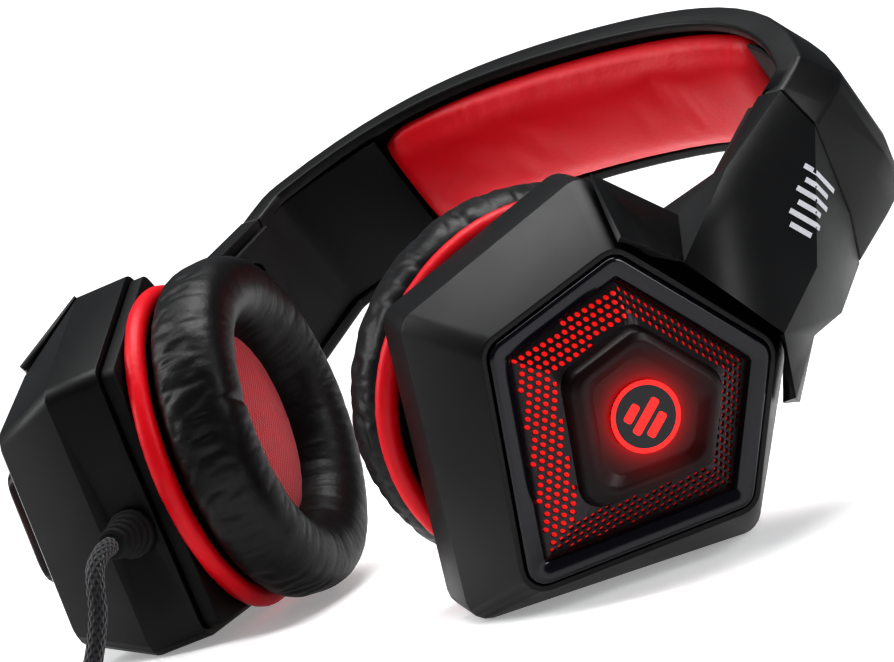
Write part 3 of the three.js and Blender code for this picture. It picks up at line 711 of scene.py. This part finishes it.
def crease(angle, level):
    """0 to 1, sharp where the gathered skin folds in, at an angle round the ring."""
    spread = 11.5
    here = Vector((spread * math.cos(angle), spread * math.sin(angle), level))
    bend = noise.noise(here * 0.35) * 1.6
    fold = 1 - abs(noise.noise(here + Vector((bend, -bend, 0)))) * 3.2
    return max(0.0, fold) ** 2


def pad_loops(cup):
    """Ring of foam: full on top, upright outside and falling gently to the opening."""
    loops = []
    middle = oval_middles[cup]
    for k in range(pad_section):
        turned = 2 * math.pi * k / pad_section
        across_share = math.copysign(abs(math.cos(turned)) ** 0.78, math.cos(turned))
        rise_share = math.copysign(abs(math.sin(turned)) ** 0.78, math.sin(turned))
        lean = 4.4 * max(0.0, -across_share) * (1 - rise_share) / 2
        distance = 0.9 + 8.1 * (1 - across_share) + lean
        level = -10.5 - 9.6 * (1 + rise_share)
        wall = max(0.0, across_share) ** 0.8 * max(0.0, 1 - abs(rise_share + 0.25) ** 2)
        lip = max(0.0, -across_share) * max(0.0, 1 - abs(rise_share + 0.1) ** 2)
        crown = max(0.0, rise_share) ** 2
        loop = []
        for i in range(pad_count):
            angle = 2 * math.pi * i / pad_count
            folded = crease(angle, k * 0.16)
            away = (angle - seam_angle + math.pi) % (2 * math.pi) - math.pi
            seam = math.exp(-((away / 0.018) ** 2))
            lumps = 0.25 * noise.noise(Vector((angle * 9, k * 0.2, 4)))
            drawn = 1.0 * folded * wall + 0.3 * folded * lip + lumps
            sink = 0.9 * seam * (crown + 0.6 * lip + 0.5 * wall) + 0.18 * folded * crown
            pull = drawn * (1 if across_share > 0 else -1)
            across_ring = OVAL_ACROSS - distance - pull
            up_ring = OVAL_UP - distance - pull
            loop.append((middle.x + across_ring * math.cos(angle), middle.y + up_ring * math.sin(angle),
                         level + sink))
        loops.append(loop)
    return loops


def inflate(piece, held, pressure, cap, frames=20):
    """Blows a stuffed piece up as cloth against its held points, then keeps the result."""
    start = [v.co.copy() for v in piece.data.vertices]
    group = piece.vertex_groups.new(name="sewn")
    group.add(held, 1.0, "REPLACE")
    cloth = piece.modifiers.new("cloth", "CLOTH")
    cloth.settings.quality = 6
    cloth.settings.mass = 0.15
    cloth.settings.tension_stiffness = 22
    cloth.settings.compression_stiffness = 22
    cloth.settings.shear_stiffness = 8
    cloth.settings.bending_stiffness = 0.6
    cloth.settings.use_pressure = True
    cloth.settings.uniform_pressure_force = pressure
    cloth.settings.vertex_group_mass = "sewn"
    cloth.settings.effector_weights.gravity = 0
    cloth.collision_settings.use_collision = False
    cloth.point_cache.frame_start = 1
    cloth.point_cache.frame_end = frames
    for number in range(1, frames + 1):
        scene.frame_set(number)
    evaluated = piece.evaluated_get(bpy.context.evaluated_depsgraph_get())
    blown = [v.co.copy() for v in evaluated.data.vertices]
    piece.modifiers.remove(cloth)
    piece.vertex_groups.remove(group)
    scene.frame_set(1)
    for vertex, before, after in zip(piece.data.vertices, start, blown):
        move = after - before
        if move.length > cap:
            move = move.normalized() * cap
        vertex.co = before + move


for side in ("right", "left"):
    pad = loops_to_piece(f"{side}_pad", pad_loops(side), BLACK_SKIN, side, wrapped=True)
    outward(pad)
    sewn = [k * pad_count + i for k in range(pad_section) for i in range(pad_count)
             if math.sin(2 * math.pi * k / pad_section) < -0.8]
    inflate(pad, sewn, 3.0, 0.0011)
    finer = pad.modifiers.new("finer", "SUBSURF")
    finer.levels = 1
    finer.render_levels = 1
    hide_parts(f"{side}_ear_cushion")
    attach(pad, f"{side}_cup")

# ---- ear cloths --------------------------------------------------------------------------
# Red knitted mesh over foam in front of the driver. Its edge is tucked into the pad, halfway up
# the opening, and it rises a little in the middle.
cloth_level = -18.0
cloth_edge = 18.4
cloth_rings = 14


def knit(finish, side, pitch):
    """Height of a knitted mesh: threads either side of small round gaps."""
    x, y, _ = cup_places(finish, side)
    wale = (x * (2 * math.pi / pitch)).math("SINE", x * (2 * math.pi / pitch))
    course = y.math("SINE", y * (2 * math.pi / pitch))
    return (abs(wale) + abs(course)) * 0.5


def ear_cloth_finish(side):
    """Red yarn, with painted shade darkening the gaps between its threads."""
    cloth = Finish(f"{side}_red_mesh", Sheen_Weight=0.3, Sheen_Roughness=0.5, Specular_IOR_Level=0.2)
    height = knit(cloth, side, 0.0022)
    fluff = cloth.grain(1800, 3)
    # Painted shade: the colour follows the knit's height, so the gaps between the threads are darker.
    shade = cloth.mix(height * 0.7 + fluff * 0.3, (0.17, 0.003, 0.008, 1), (0.52, 0.010, 0.024, 1))
    return cloth.feed(Base_Color=shade, Roughness=0.75 + fluff * 0.2,
                      Normal=cloth.bump(height + fluff * 0.3, 0.00025, 0.8))


for side in ("right", "left"):
    edge = oval_at(cloth_edge, 180, side)
    middle = oval_middles[side]
    loops = []
    for k in range(cloth_rings):
        share = 1 - k / cloth_rings
        lift = 1.8 * (1 - share ** 3)
        spread = [middle + (p - middle) * share for p in edge]
        loops.append([(p.x, p.y, cloth_level - lift) for p in spread])
    cover = loops_to_piece(f"{side}_cloth", loops, ear_cloth_finish(side), side)
    count = len(edge)
    closing = bmesh.new()
    closing.from_mesh(cover.data)
    closing.verts.ensure_lookup_table()
    closing.faces.new([closing.verts[(cloth_rings - 1) * count + k] for k in range(count)]).smooth = True
    closing.to_mesh(cover.data)
    closing.free()
    thick = cover.modifiers.new("thickness", "SOLIDIFY")
    thick.thickness = 0.0008
    thick.offset = 0
    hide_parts(f"{side}_ear_cloth")
    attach(cover, f"{side}_cup")

# ---- headband cushion --------------------------------------------------------------------
# One long red leatherette cushion under the crown, fuller in the middle, its skin pulled over
# foam and tucked between the rims of the shell, with a seam near each long side.
BAND_LEAN = math.radians(22)
band_start = Vector((0, CUPS["right"].translation.y, CUPS["right"].translation.z))
band_turn = Matrix.Rotation(-rest_tilt() - BAND_LEAN, 4, "X")
band_frame = Matrix.Translation(band_start) @ band_turn @ Matrix.Scale(0.001, 4)
CROWN_TOP = 134
CROWN_CURVE = 0.00183
CROWN_SHOULDER = 2.3e-7


def crown_height(x):
    """Height of the band's outer line at a place across, in millimetres."""
    return CROWN_TOP - CROWN_CURVE * x ** 2 - CROWN_SHOULDER * x ** 4


def crown_point(x, y, depth):
    """A point below the band's outer line, in metres."""
    slope = -2 * CROWN_CURVE * x - 4 * CROWN_SHOULDER * x ** 3
    down = Vector((slope, -1)).normalized()
    return band_frame @ Vector((x + down.x * depth, y, crown_height(x) + down.y * depth))


stations = 110
cushion_section = 28
cushion_vertices = []
cushion_held = []
for i in range(stations + 1):
    share = 2 * i / stations - 1
    x = 68.3 * math.sin(share * math.pi / 2 * 0.999)
    end = max(0.0, (abs(x) - 58) / 10.4)
    narrow = math.sqrt(max(0.0, 1 - end ** 2.6))
    for k in range(cushion_section):
        angle = 2 * math.pi * k / cushion_section
        rise = math.sin(angle)
        wide = math.copysign(abs(math.cos(angle)) ** 0.75, math.cos(angle)) * (16.0 - 3.0 * end ** 3)
        crowned = 6.2 + 1.2 * math.cos(x / 68.5 * math.pi / 2)
        depth = 7.6 + (crowned * rise ** 0.85 * (0.25 + 0.75 * narrow) if rise > 0 else 2.6 * rise)
        near_side = abs(wide) - 13.2
        if rise > 0:
            depth -= 0.75 * math.exp(-(near_side / 0.7) ** 2) * narrow
            depth += 0.25 * noise.noise(Vector((x * 0.07, wide * 0.12, 5.0)))
            gather = max(0.0, (abs(wide) - 9) / 7)
            depth -= 0.35 * gather * abs(noise.noise(Vector((x * 0.42, wide * 0.05, 2.0))))
        else:
            cushion_held.append(len(cushion_vertices))
        cushion_vertices.append(crown_point(x, 3 + wide, depth))
cushion_faces = [[i * cushion_section + k, i * cushion_section + (k + 1) % cushion_section,
                  (i + 1) * cushion_section + (k + 1) % cushion_section, (i + 1) * cushion_section + k]
                 for i in range(stations) for k in range(cushion_section)]
cushion_faces.append(list(range(cushion_section))[::-1])
cushion_faces.append([stations * cushion_section + k for k in range(cushion_section)])
cushion = new_piece("crown_cushion", cushion_vertices, cushion_faces, RED_SKIN)
outward(cushion)
inflate(cushion, cushion_held, 3.0, 0.0015)
finer = cushion.modifiers.new("finer", "SUBSURF")
finer.levels = 1
finer.render_levels = 1
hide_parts("headband_cushion")
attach(cushion, "headband")

# ---- steel, boards and small fittings ----------------------------------------------------
# Steel slide blades, pins, magnets and plug shell, blackened screws and green boards; the plain
# strip in the crown; rubber strain relief; the inline remote with its wheel and mute slider.


def brushed(name, dark, light, rough):
    """Drawn steel with streaks along its length."""
    steel = Finish(name, Metallic=1.0)
    lines = steel.node("ShaderNodeMapping", None, 0, Vector=steel.place(), Scale=(1, 1, 14))
    streaks = steel.grain(900, 3, 0.5, lines)
    return steel.feed(Base_Color=steel.mix(streaks, (*dark, 1), (*light, 1)),
                      Roughness=rough + streaks * 0.18, Normal=steel.bump(streaks, 0.00001))


STEEL = brushed("brushed_steel", (0.42, 0.42, 0.43), (0.66, 0.66, 0.68), 0.25)
BLACKED = brushed("blackened_steel", (0.03, 0.03, 0.032), (0.09, 0.09, 0.095), 0.3)
RUBBER = moulded("matte_rubber", (0.009, 0.009, 0.0095), (0.018, 0.018, 0.019), 0.7, 0.00004)
board = Finish("circuit_board", Specular_IOR_Level=0.5)
copper = board.grain(420, 1)
BOARD = board.feed(Base_Color=board.mix(copper, (0.008, 0.06, 0.02, 1), (0.02, 0.13, 0.05, 1)),
                   Roughness=0.35 + copper * 0.2)
finish_node("headband_strip", INNER)
for side in ("right", "left"):
    finish_node(f"{side}_slide_blade", STEEL, 0.0002)
    finish_node(f"{side}_hinge_pin", STEEL)
    finish_node(f"{side}_driver_magnet", STEEL, 0.0003)
    finish_node(f"{side}_driver_frame", INNER)
    finish_node(f"{side}_light_board", BOARD)
    for number in (1, 2, 3):
        finish_node(f"{side}_cover_screw_{number}", BLACKED, 0.00015, 30, 2)
finish_node("left_strain_relief", RUBBER, 0.0002, 30, 2)
finish_node("left_control_board", BOARD)
finish_node("left_mic_stalk", RUBBER)
finish_node("left_mic_capsule", RUBBER, 0.0003)
finish_node("remote_body", SHELL, 0.0004)
finish_node("volume_wheel", RUBBER, 0.0002)
finish_node("mute_slider", GLOSS, 0.0003)
finish_node("plug_body", RUBBER, 0.0004)
finish_node("plug_contact", STEEL, 0.0001)

# ---- printed bars ------------------------------------------------------------------------
# Plain slanted bars in pale ink, pad-printed on the outside of each arm, a hair proud of the
# plastic.
ink_gap = 0.00012
bar_lengths = (5.6, 8.4, 6.6, 9.8, 7.8, 11.0)
bar_width = 1.7
ink = Finish("pale_ink", Specular_IOR_Level=0.4)
ink_grain = ink.grain(1500, 3)
INK = ink.feed(Base_Color=ink.mix(ink_grain, (0.34, 0.34, 0.36, 1), (0.46, 0.46, 0.48, 1)),
               Roughness=0.45 + ink_grain * 0.15)


def on_arm(tree, sign, y, z):
    """Place on the outside of an arm, in metres, for a place along the band."""
    start = band_frame @ Vector((sign * 140, y, z))
    inward = (band_frame.to_3x3() @ Vector((-sign, 0, 0))).normalized()
    hit = tree.ray_cast(start, inward)[0]
    return hit - inward * ink_gap


for side, sign in (("right", 1), ("left", -1)):
    tree = BVHTree.FromPolygons([v.co for v in nodes[f"{side}_arm"].data.vertices],
                                [p.vertices for p in nodes[f"{side}_arm"].data.polygons])
    vertices = []
    faces = []
    for number, tall in enumerate(bar_lengths):
        height = 50 + number * 3.6
        first = len(vertices)
        for step in range(7):
            y = -1.0 + tall * (step / 6 - 0.5)
            lean_z = height + (y + 1.0) * 0.35
            vertices.append(on_arm(tree, sign, y, lean_z))
            vertices.append(on_arm(tree, sign, y, lean_z + bar_width))
        faces += [[first + 2 * k, first + 2 * k + 1, first + 2 * k + 3, first + 2 * k + 2] for k in range(6)]
    bars = new_piece(f"{side}_bars", vertices, faces, INK, False)
    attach(bars, f"{side}_arm")

# ---- table and light ---------------------------------------------------------------------
# A plain pale table that fades to white with distance, under a white sky, with soft lamps above,
# to the left and to the right.
table_finish = Finish("table_white", Roughness=0.9, Specular_IOR_Level=0.1, Emission_Strength=1.0)
spot_x, spot_y, _ = table_finish.parts(table_finish.place())
reach = (spot_x * spot_x + spot_y * spot_y) ** 0.5
far = table_finish.held((reach - 0.18) * 2.2)
TABLE = table_finish.feed(
    Base_Color=table_finish.mix(far, (0.90, 0.90, 0.90, 1), (0.02, 0.02, 0.02, 1)),
    Emission_Color=table_finish.mix(far, (0.24, 0.24, 0.24, 1), (0.96, 0.96, 0.96, 1)))
table = new_piece("table", [(-8, -8, 0), (8, -8, 0), (8, 8, 0), (-8, 8, 0)], [[0, 1, 2, 3]], TABLE, False)

world = bpy.data.worlds.new("studio")
world.use_nodes = True
sky = world.node_tree
for added in list(sky.nodes):
    sky.nodes.remove(added)
plain = sky.nodes.new("ShaderNodeBackground")
plain.inputs[0].default_value = (1, 1, 1, 1)
dim = sky.nodes.new("ShaderNodeBackground")
dim.inputs[0].default_value = (0.9, 0.95, 1, 1)
dim.inputs[1].default_value = 0.15
seen = sky.nodes.new("ShaderNodeLightPath")
either = sky.nodes.new("ShaderNodeMixShader")
last = sky.nodes.new("ShaderNodeOutputWorld")
sky.links.new(seen.outputs[0], either.inputs[0])
sky.links.new(dim.outputs[0], either.inputs[1])
sky.links.new(plain.outputs[0], either.inputs[2])
sky.links.new(either.outputs[0], last.inputs[0])
scene.world = world


def soft_lamp(name, place, target, width, height, power):
    """A rectangular lamp that faces its target."""
    data = bpy.data.lights.new(name, "AREA")
    data.shape = "RECTANGLE"
    data.size = width
    data.size_y = height
    data.energy = power
    lamp = bpy.data.objects.new(name, data)
    scene.collection.objects.link(lamp)
    lamp.location = place
    lamp.rotation_euler = (Vector(target) - Vector(place)).to_track_quat("-Z", "Y").to_euler()


soft_lamp("overhead", (-0.1, 0.15, 1.3), (0, 0, 0.05), 1.1, 0.8, 17)
soft_lamp("left_strip", (-0.9, -0.55, 0.7), (0, 0, 0.05), 0.25, 1.0, 7)
soft_lamp("right_strip", (1.0, 0.2, 0.45), (0.05, 0, 0.05), 0.25, 0.8, 5)
scene.view_settings.view_transform = "Standard"
scene.view_settings.look = "High Contrast"
